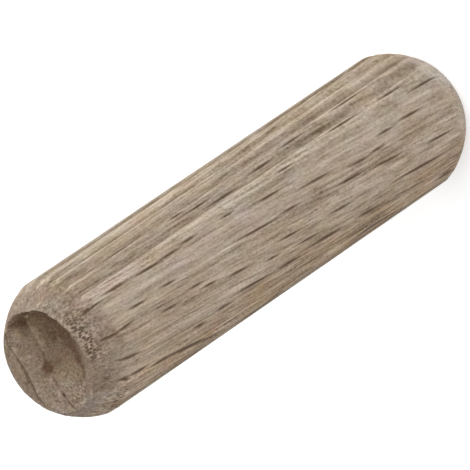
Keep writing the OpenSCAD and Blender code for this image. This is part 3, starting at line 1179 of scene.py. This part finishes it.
class NodeBench:
    """Adds nodes to one material's or world's tree."""

    def __init__(self, tree: bpy.types.NodeTree) -> None:
        """Clears the tree and works on it."""
        self.tree = tree
        tree.nodes.clear()

    def node(
        self,
        kind: str,
        settings: Optional[dict[str, Any]] = None,
        inputs: Optional[dict[Any, Any]] = None,
    ) -> bpy.types.Node:
        """Adds any node.

        Args:
            kind: The node's type name.
            settings: Attributes set before its sockets are filled.
            inputs: Values or flows for its sockets, by name or number.

        Returns:
            The new node.
        """
        made = self.tree.nodes.new(kind)
        for name, value in (settings or {}).items():
            setattr(made, name, value)
        for key, value in (inputs or {}).items():
            if isinstance(value, Flow):
                value = value.socket
            if isinstance(value, bpy.types.NodeSocket):
                self.tree.links.new(value, made.inputs[key])
            else:
                made.inputs[key].default_value = value
        return made

    def read(
        self,
        kind: str,
        settings: Optional[dict[str, Any]] = None,
        inputs: Optional[dict[Any, Any]] = None,
        output: int | str = 0,
    ) -> Flow:
        """One output of a new node, by its name or number."""
        return Flow(self, self.node(kind, settings, inputs).outputs[output])

    def math(self, operation: str, one: "Flow | float", other: "Flow | float" = 0.0) -> Flow:
        """One Math node."""
        return self.read("ShaderNodeMath", {"operation": operation}, {0: one, 1: other})

    def vector(self, operation: str, *parts: Any, output: str = "Vector") -> Flow:
        """One Vector Math node."""
        return self.read("ShaderNodeVectorMath", {"operation": operation}, dict(enumerate(parts)), output)

    def noise(self, place: Flow, texture: Texture, output: str = "Fac") -> Flow:
        """Reads a texture at a place in the wood.

        Args:
            place: Grain coordinates, in millimetres.
            texture: The noise.
            output: Fac for one value, or Color for three.

        Returns:
            Values from 0 to 1.
        """
        inputs = {
            "Vector": self.vector("MULTIPLY", place, texture.waves),
            "Scale": 1.0,
            "Detail": texture.detail,
            "Roughness": texture.rough,
        }
        return self.read("ShaderNodeTexNoise", None, inputs, output)

    def dots(self, place: Flow, waves: Triple) -> Flow:
        """Distance from the nearest of many scattered points.

        Args:
            place: Grain coordinates, in millimetres.
            waves: How many points there are to a millimetre along each axis.

        Returns:
            About 0.5 midway between two points.
        """
        inputs = {"Vector": self.vector("MULTIPLY", place, waves), "Scale": 1.0, "Randomness": 0.8}
        return self.read("ShaderNodeTexVoronoi", None, inputs, "Distance")

    def attribute(self, name: str) -> Flow:
        """A number stored on the piece's mesh."""
        return self.read("ShaderNodeAttribute", {"attribute_name": name}, output="Fac")

    def tint(self, share: "Flow | float", one: Any, other: Any) -> Flow:
        """A colour between two, by a share from 0 to 1."""
        return self.read("ShaderNodeMix", {"data_type": "RGBA"}, {0: share, 6: one, 7: other}, 2)

    def tinted(self, colour: Flow, glaze: Flow) -> Flow:
        """A colour seen through another."""
        return self.vector("MULTIPLY", colour, glaze)

    def shade(self, colour: Flow, amount: Flow) -> Flow:
        """A brown made lighter or darker by a number around 1, greyer as it lightens."""
        rest = tuple(1.0 - part for part in SHADE_GAIN)
        return self.tinted(colour, self.vector("MULTIPLY_ADD", amount, SHADE_GAIN, rest))


def linear(part: int) -> float:
    """One part of a screen colour, from 0 to 255, as linear light."""
    share = part / 255.0
    return share / 12.92 if share <= 0.04045 else ((share + 0.055) / 1.055) ** 2.4


def paint(red: int, green: int, blue: int) -> Colour:
    """A screen colour from 0 to 255 as the linear colour that shaders take."""
    return linear(red), linear(green), linear(blue), 1.0


# ---- finish


@dataclass(frozen=True)
class Beech:
    """Bare beech: fine fibres, broad streaks, brown ray flecks and porous end grain."""

    dark: Colour = paint(116, 98, 79)
    light: Colour = paint(213, 197, 179)
    rosy: Colour = (1.03, 0.935, 0.965, 1.0)
    olive: Colour = (0.97, 0.995, 0.88, 1.0)
    grey: Colour = (0.92, 1.015, 1.18, 1.0)
    tan: Colour = (1.09, 0.985, 0.82, 1.0)
    fleck: Colour = paint(80, 58, 40)
    end: Colour = paint(150, 134, 119)
    ray: Colour = paint(171, 155, 139)
    pore: Colour = paint(94, 75, 60)
    # Partly the paler colour of the sawn end grain, partly painted light that offsets the floor's shadow at
    # the pin's foot.
    sawn: Colour = paint(205, 191, 175)
    torn: Colour = paint(148, 132, 115)
    # The brown the hollow darkens towards, for its stains and for painted shade in its deep parts and
    # cracks.
    deep: Colour = paint(98, 75, 56)
    roughness: float = 0.78
    specular: float = 0.25
    relief: float = 0.03
    pore_relief: float = 0.3
    pit_relief: float = 1.4
    pit_dark: float = 0.6
    grain_pale: float = 0.4
    pit: Ramp = Ramp(0.5, 0.22)
    pale_grain: Ramp = Ramp(0.45, 0.75)
    # A painted highlight in a ring round each fleck, as on the lit edge of a small groove.
    fleck_highlight: Ramp = Ramp(-1.3, -0.5, 0.07)
    fleck_highlight_end: Ramp = Ramp(-0.4, 0.1, 0.07)
    fleck_core: Ramp = Ramp(-0.1, 0.7, 0.86)
    pore_dip: Ramp = Ramp(0.62, 0.45)
    pore_dark: Ramp = Ramp(0.58, 0.72, 0.12)
    ray_dark: Ramp = Ramp(0.64, 0.78, 0.18)
    ray_pale: Ramp = Ramp(0.5, 0.7, 0.6)
    cast_share: float = 0.5
    tan_share: float = 0.3
    tan_dark: float = 0.35
    level: float = 0.56
    # Grooves darkened partly as pressed wood and partly as painted shade; crests lightened as a painted
    # highlight.
    pressed_dark_and_shade: float = 0.22
    crest_highlight_gain: float = 0.17
    brown_gain: float = 3.8
    end_blotch: Pair = (1.4, 0.9)
    end_mottle: Pair = (1.5, 0.1)
    # How much paler the hollow gets where its brown is below zero: paler stains and painted highlights.
    hollow_pale_and_highlight: float = 0.45
    sway: Texture = Texture((0.3, 0.3, 0.05), 1.0)
    sway_reach: Triple = (0.6, 0.6, 0.0)
    fibre: Texture = Texture((2.8, 2.8, 0.3), 3.0, 0.8)
    pores: Texture = Texture((7.0, 7.0, 1.1), 1.0)
    rays: Texture = Texture((0.35, 5.0, 0.7), 1.0)
    dot_waves: Triple = (5.2, 6.4, 3.4)
    grit: Texture = Texture((10.0, 10.0, 4.0), 1.0, 0.6, 0.8)
    threads: tuple[Texture, ...] = (
        Texture((9.0, 9.0, 0.5), share=0.65),
        Texture((6.0, 6.0, 0.14), share=0.6),
        Texture((3.4, 3.4, 0.06), share=0.3),
        Texture((3.0, 3.0, 0.03), share=0.2),
        Texture((1.7, 1.7, 0.02), share=0.1),
        Texture((1.3, 1.3, 0.015), share=0.05),
    )
    broad: Texture = Texture((1.6, 1.6, 0.03), share=0.35)
    blush: Texture = Texture((0.9, 0.9, 0.8), 2.0, 0.55, 1.3)
    tanning: Texture = Texture((0.7, 0.7, 0.4), 2.0, 0.6, 0.75)
    blotch: Texture = Texture((1.8, 1.8, 0.8), 4.0, 0.8, 0.55)
    mottle: Texture = Texture((6.0, 6.0, 3.6), 2.0, 0.7)
    grain: Grain = Grain()
    radius: float = 5.0
    length: float = 40.0

    def material(self) -> bpy.types.Material:
        """Makes the finish.

        Returns:
            A material that reads object coordinates and the pin's own attributes.
        """
        made = bpy.data.materials.new("bare_beech")
        made.use_nodes = True
        bench = NodeBench(made.node_tree)
        grain = self.grain_coordinates(bench)
        waved = bench.vector("MULTIPLY_ADD", bench.noise(grain, self.sway, "Color"), self.sway_reach, grain)
        fibre, pores, rays = (bench.noise(waved, kind) for kind in (self.fibre, self.pores, self.rays))
        end = bench.attribute("end_grain")
        cells = bench.attribute("cells")
        dots = bench.dots(grain, self.dot_waves)
        pits = dots.ramp(self.pit) * cells.at_least(0.0)
        grains = dots.ramp(self.pale_grain) * abs(cells)
        body = self.body_colour(bench, waved, pores, rays)
        colour = bench.tint(end, body, self.end_colour(bench, grain, rays))
        colour = bench.tint(pits * self.pit_dark, colour, self.pore)
        colour = bench.shade(colour, 1.0 + grains * self.grain_pale)
        colour = self.weathered_and_painted_light(bench, grain, colour)
        fleck = bench.attribute("fleck")
        # Painted highlight round each fleck, then its brown core.
        colour = bench.shade(colour, 1.0 + (fleck.ramp(self.fleck_highlight) - fleck.ramp(self.fleck_highlight_end)))
        colour = bench.tint(fleck.ramp(self.fleck_core), colour, self.fleck)
        height = fibre * (1.0 - end) + pores.ramp(self.pore_dip) * (self.pore_relief + end)
        height = height + grains - pits * self.pit_relief
        inputs = {
            "Base Color": colour,
            "Roughness": self.roughness,
            "Specular IOR Level": self.specular,
            "Normal": bench.read("ShaderNodeBump", None, {"Distance": self.relief * MM, "Height": height}),
        }
        shader = bench.read("ShaderNodeBsdfPrincipled", None, inputs)
        bench.node("ShaderNodeOutputMaterial", None, {"Surface": shader})
        return made

    def weathered_and_painted_light(self, bench: NodeBench, grain: Flow, colour: Flow) -> Flow:
        """Adds patches of rosy and olive, of tan and grey, and the paler and darker marks, among them
        painted shade and painted highlights.

        Args:
            bench: Where the nodes go.
            grain: Grain coordinates.
            colour: The clean wood.

        Returns:
            The colour of the wood as it is found, with its painted light.
        """
        uneven = bench.attribute("uneven")
        blush = bench.noise(grain, self.blush) - 0.5
        cast = 0.5 + blush * self.blush.share * uneven + bench.attribute("cast") * self.cast_share
        colour = bench.tinted(colour, bench.tint(cast, self.olive, self.rosy))
        tanned = bench.noise(grain, self.tanning) - 0.5
        tan = 0.5 + tanned * self.tanning.share * uneven + bench.attribute("tan") * self.tan_share
        colour = bench.tinted(colour, bench.tint(tan, self.grey, self.tan))
        # The tone holds the bands and strokes, painted shade and painted highlights among them.
        return bench.shade(colour, 1.0 + bench.attribute("tone") - tanned * self.tan_dark)

    def grain_coordinates(self, bench: NodeBench) -> Flow:
        """Measures places along the rays, round the rings and up the fibres.

        Args:
            bench: Where the nodes go.

        Returns:
            Three distances in millimetres.
        """
        place = self.straightened(bench, bench.read("ShaderNodeTexCoord", output="Object"))
        parts = {
            slot: bench.vector("DOT_PRODUCT", place, tuple(axis / MM), output="Value")
            for slot, axis in enumerate(self.grain.axes())
        }
        return bench.read("ShaderNodeCombineXYZ", None, parts)

    def straightened(self, bench: NodeBench, place: Flow) -> Flow:
        """Moves places so that the fibres keep their drift round the skin but don't leave it.

        Args:
            bench: Where the nodes go.
            place: Object coordinates.

        Returns:
            The places where straight fibres would pass.
        """
        lean = (self.grain.lean_x, self.grain.lean_y, 0.0)
        axis = tuple(part / (self.radius * MM) ** 2 for part in lean)
        outward = bench.vector("DOT_PRODUCT", place, axis, output="Value")
        height = bench.vector("DOT_PRODUCT", place, (0.0, 0.0, 1.0), output="Value")
        level = bench.vector("MULTIPLY", place, (1.0, 1.0, 0.0))
        shift = bench.vector("MULTIPLY", level, outward * (height - self.length * MM))
        return bench.vector("ADD", place, shift)

    def body_colour(self, bench: NodeBench, waved: Flow, pores: Flow, rays: Flow) -> Flow:
        """Streaks of many widths between a darker and a lighter brown, with pores and rays.

        Args:
            bench: Where the nodes go.
            waved: Grain coordinates with the fibres' slow waves in them.
            pores: The pores' noise.
            rays: The rays' noise.

        Returns:
            The colour of the pin's side.
        """
        streaks = (bench.noise(waved, self.grit) - 0.5) * self.grit.share
        for thread in self.threads:
            streaks = streaks + (bench.noise(waved, thread) - 0.5) * thread.share
        bold = bench.attribute("bold")
        broad = bench.noise(waved, self.broad) - 0.5
        level = self.level + streaks * (1.0 + bold) + broad * bold * self.broad.share
        level = level - pores.ramp(self.pore_dark) - rays.ramp(self.ray_dark)
        colour = bench.tint(level, self.dark, self.light)
        # Darker down the grooves, partly pressed wood and partly painted shade; a painted highlight on the
        # crests.
        pressed = 1.0 - bench.attribute("pressed") * self.pressed_dark_and_shade
        return bench.shade(colour, pressed + bench.attribute("crest_highlight") * self.crest_highlight_gain)

    def end_colour(self, bench: NodeBench, grain: Flow, rays: Flow) -> Flow:
        """Duller end grain with pale ray lines, a lighter sawn end that is partly painted light, and a
        hollow mottled with brown stains, painted shade and painted highlights.

        Args:
            bench: Where the nodes go.
            grain: Grain coordinates.
            rays: The rays' noise.

        Returns:
            The colour of both ends.
        """
        hollow = bench.attribute("hollow")
        colour = bench.tint(rays.ramp(self.ray_pale), self.end, self.ray)
        # The sawn end: paler end grain and painted light against the floor's shadow.
        colour = bench.tint(bench.attribute("sawn"), colour, self.sawn)
        colour = bench.tint(hollow, colour, self.torn)
        blotch = bench.noise(grain, self.blotch) - 0.5
        brown = bench.attribute("brown") * (1.0 + blotch * self.brown_gain) + blotch * self.blotch.share
        # Brown stains and painted shade of the hollow, darker towards the deep colour.
        colour = bench.tint(brown.at_least(0.0).at_most(1.0) * hollow, colour, self.deep)
        # Paler places in the hollow: paler stains and painted highlights on lips and ridges.
        pale = (0.0 - brown).at_least(0.0) * hollow * self.hollow_pale_and_highlight
        rough = bench.noise(grain, self.mottle) - 0.5
        for kind, (plain, extra) in ((blotch, self.end_blotch), (rough, self.end_mottle)):
            pale = pale + kind * (plain + hollow * extra)
        return bench.shade(colour, 1.0 + pale)


# ---- studio


@dataclass(frozen=True)
class Softbox:
    """A round soft lamp that faces the pin, sized and placed in metres."""

    turn: float
    rise: float
    power: float
    size: float = 0.8
    away: float = 0.8

    def hang(self, middle: Vector) -> None:
        """Hangs the lamp.

        Args:
            middle: The point that it faces, in metres.
        """
        rise = math.radians(self.rise)
        unit_x, unit_y = turn_to_unit(self.turn)
        towards = Vector((unit_x * math.cos(rise), unit_y * math.cos(rise), math.sin(rise)))
        data = bpy.data.lights.new("softbox", "AREA")
        data.shape = "DISK"
        data.size = self.size
        data.energy = self.power
        lamp = bpy.data.objects.new("softbox", data)
        bpy.context.scene.collection.objects.link(lamp)
        lamp.location = middle + towards * self.away
        lamp.rotation_euler = towards.to_track_quat("Z", "Y").to_euler()


@dataclass(frozen=True)
class Studio:
    """A pale floor, soft light and the camera, whose aim lies off the pin's middle.

    The sensor, the lens, the aim and the distance are in millimetres, and the floor in metres.
    """

    elevation: float = 41.5
    roll: float = -124.25
    distance: float = 620.0
    lens: float = 719.8
    sensor: float = 36.0
    clip_start: float = 0.01
    aim_right: float = -0.252
    aim_up: float = -0.178
    floor_size: float = 3.0
    floor_colour: Colour = (0.8, 0.8, 0.8, 1.0)
    floor_glow: float = 0.5
    fill: float = 0.56
    softboxes: tuple[Softbox, ...] = (Softbox(25.0, 10.0, 3.6), Softbox(-60.0, 40.0, 3.0))

    def camera_axes(self) -> tuple[Vector, Vector, Vector]:
        """Finds how the camera is held.

        Returns:
            Unit vectors to the picture's right, to its top and back to the camera.
        """
        rise = math.radians(self.elevation)
        back = Vector((0.0, -math.cos(rise), math.sin(rise)))
        level = Vector((1.0, 0.0, 0.0))
        upright = back.cross(level)
        turn = math.radians(self.roll)
        right = level * math.cos(turn) + upright * math.sin(turn)
        return right, back.cross(right), back

    def set_camera(self, middle: Vector) -> None:
        """Puts the camera where it looks down on the torn end.

        Args:
            middle: The middle of the pin, in metres.
        """
        right, top, back = self.camera_axes()
        aim = middle + (right * self.aim_right + top * self.aim_up) * MM
        place = aim + back * (self.distance * MM)
        data = bpy.data.cameras.new("camera")
        data.lens = self.lens
        data.sensor_width = self.sensor
        data.clip_start = self.clip_start
        camera = bpy.data.objects.new("camera", data)
        bpy.context.scene.collection.objects.link(camera)
        columns = Matrix((right, top, back)).transposed().to_4x4()
        camera.matrix_world = Matrix.Translation(place) @ columns
        bpy.context.scene.camera = camera

    def lay_floor(self) -> None:
        """Lays the pale floor that the pin stands on, which glows where it is looked at."""
        bpy.ops.object.select_all(action="DESELECT")
        bpy.ops.mesh.primitive_plane_add(size=self.floor_size, location=(0, 0, 0))
        floor = bpy.context.active_object
        floor.name = "studio_floor"
        finish = bpy.data.materials.new("pale_floor")
        finish.use_nodes = True
        bench = NodeBench(finish.node_tree)
        rays = bench.read("ShaderNodeLightPath", output="Is Camera Ray")
        for kind in ("Is Glossy Ray", "Is Transmission Ray"):
            rays = rays.at_least(bench.read("ShaderNodeLightPath", output=kind))
        matt = bench.read("ShaderNodeBsdfDiffuse", None, {"Color": self.floor_colour})
        glow = bench.read("ShaderNodeEmission", None, {"Strength": rays * self.floor_glow})
        both = bench.read("ShaderNodeAddShader", None, {0: matt, 1: glow})
        bench.node("ShaderNodeOutputMaterial", None, {"Surface": both})
        floor.data.materials.append(finish)

    def light(self, middle: Vector) -> None:
        """Hangs the soft lamps and fills in from all round.

        Args:
            middle: The middle of the pin, in metres.
        """
        world = bpy.data.worlds.new("studio")
        world.use_nodes = True
        bpy.context.scene.world = world
        bench = NodeBench(world.node_tree)
        seen = bench.read("ShaderNodeLightPath", output="Is Camera Ray")
        strength = seen * (1.0 - self.fill) + self.fill
        glow = bench.read("ShaderNodeBackground", None, {"Color": (1, 1, 1, 1), "Strength": strength})
        bench.node("ShaderNodeOutputWorld", None, {"Surface": glow})
        for softbox in self.softboxes:
            softbox.hang(middle)


def main() -> None:
    """Builds the pin, its finish and the studio, in that order."""
    logging.basicConfig(level=logging.INFO, format="%(name)s: %(message)s")
    low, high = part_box(NODE)
    middle = (low + high) / 2.0
    studio = Studio()
    studio.set_camera(middle)
    pin = DowelPin()
    piece = pin.build()
    piece.data.materials.append(Beech().material())
    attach(piece, BODY)
    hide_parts(NODE)
    log.info("%s: %d faces", piece.name, len(piece.data.polygons))
    studio.lay_floor()
    studio.light(middle)
    bpy.context.scene.view_settings.view_transform = "Standard"


if __name__ == "__main__":
    main()
